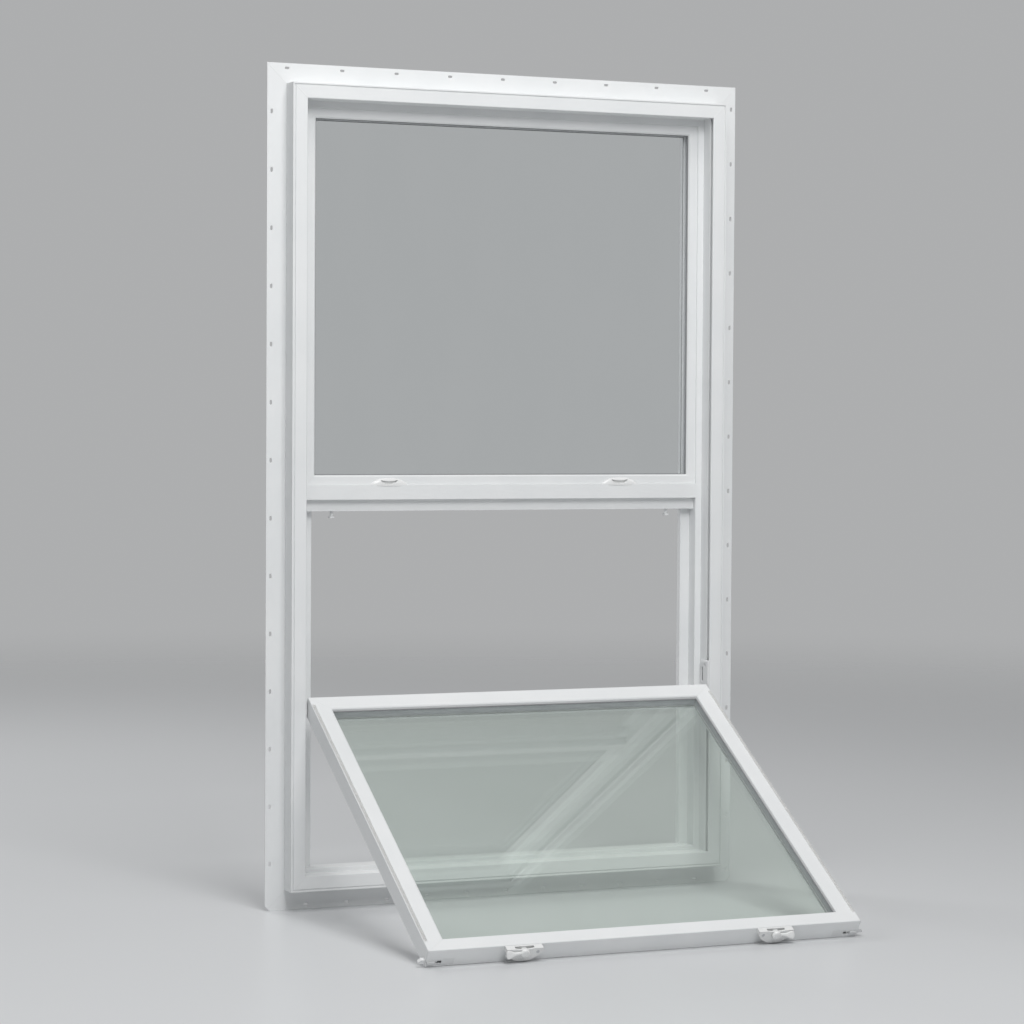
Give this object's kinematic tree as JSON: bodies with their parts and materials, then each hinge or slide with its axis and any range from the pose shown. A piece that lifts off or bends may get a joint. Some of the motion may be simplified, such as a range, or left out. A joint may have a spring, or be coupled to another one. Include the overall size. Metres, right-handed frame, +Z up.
{
  "type": "single hung window",
  "caption": "White vinyl single hung window with a nailing fin, a fixed upper lite and a lower sash that slides and tilts into the room, with sweep locks and tilt latches.",
  "frame": {"origin": "on the nailing fin's seating face, at the middle of the sill strip", "axes": "+X along the sill, +Y from the room to the outdoors, +Z up"},
  "size_m": [0.978, 0.7131, 1.5875],
  "materials": {
    "white_vinyl": "satin",
    "clear_glass": "clear",
    "glass_spacer": "satin",
    "pile_seal": "woven pile",
    "lock_enamel": "gloss",
    "moulded_plastic": "satin",
    "pivot_metal": "plated"
  },
  "bodies": {
    "frame": {"head_frame": "white_vinyl", "sill_frame": "white_vinyl", "left_jamb": "white_vinyl", "right_jamb": "white_vinyl", "meeting_rail": "white_vinyl", "upper_room_pane": "clear_glass", "upper_outer_pane": "clear_glass", "upper_spacer": "glass_spacer", "upper_top_bead": "white_vinyl", "upper_bottom_bead": "white_vinyl", "upper_left_bead": "white_vinyl", "upper_right_bead": "white_vinyl", "left_keeper": "lock_enamel", "right_keeper": "lock_enamel", "left_guide_pin": "moulded_plastic", "right_guide_pin": "moulded_plastic"},
    "shoes": {"left_balance_shoe": "moulded_plastic", "right_balance_shoe": "moulded_plastic"},
    "sash": {"sash_left_stile": "white_vinyl", "sash_right_stile": "white_vinyl", "sash_top_rail": "white_vinyl", "sash_bottom_rail": "white_vinyl", "sash_room_pane": "clear_glass", "sash_outer_pane": "clear_glass", "sash_spacer": "glass_spacer", "sash_top_bead": "white_vinyl", "sash_bottom_bead": "white_vinyl", "sash_left_bead": "white_vinyl", "sash_right_bead": "white_vinyl", "left_pivot_bar": "pivot_metal", "right_pivot_bar": "pivot_metal", "left_pile_seal": "pile_seal", "right_pile_seal": "pile_seal", "left_lock_base": "lock_enamel", "right_lock_base": "lock_enamel", "left_latch_housing": "moulded_plastic", "right_latch_housing": "moulded_plastic"},
    "left_lever": {"left_lock_lever": "lock_enamel"},
    "right_lever": {"right_lock_lever": "lock_enamel"},
    "left_bolt": {"left_latch_bolt": "moulded_plastic"},
    "right_bolt": {"right_latch_bolt": "moulded_plastic"}
  },
  "joints": [
    {"name": "sash_slide", "type": "slide", "parent": "frame", "child": "shoes", "axis": [0, 0, 1], "range_m": [-0.29017, 0.35984]},
    {"name": "sash_tilt", "type": "hinge", "parent": "shoes", "child": "sash", "pos_m": [0, -0.0297, 0.35672], "axis": [1, 0, 0], "range_deg": [-121, 0]},
    {"name": "left_lock_turn", "type": "hinge", "parent": "sash", "child": "left_lever", "pos_m": [-0.242, -0.64972, 0.00424], "axis": [0, 0.8572, 0.515], "range_deg": [-180, 0]},
    {"name": "right_lock_turn", "type": "hinge", "parent": "sash", "child": "right_lever", "pos_m": [0.242, -0.64972, 0.00424], "axis": [0, -0.8572, -0.515], "range_deg": [-180, 0]},
    {"name": "left_latch_slide", "type": "slide", "parent": "sash", "child": "left_bolt", "axis": [1, 0, 0], "range_m": [0, 0.012], "stiffness_N_per_m": 150, "springref_m": -0.02},
    {"name": "right_latch_slide", "type": "slide", "parent": "sash", "child": "right_bolt", "axis": [-1, 0, 0], "range_m": [0, 0.012], "stiffness_N_per_m": 150, "springref_m": -0.02}
  ]
}
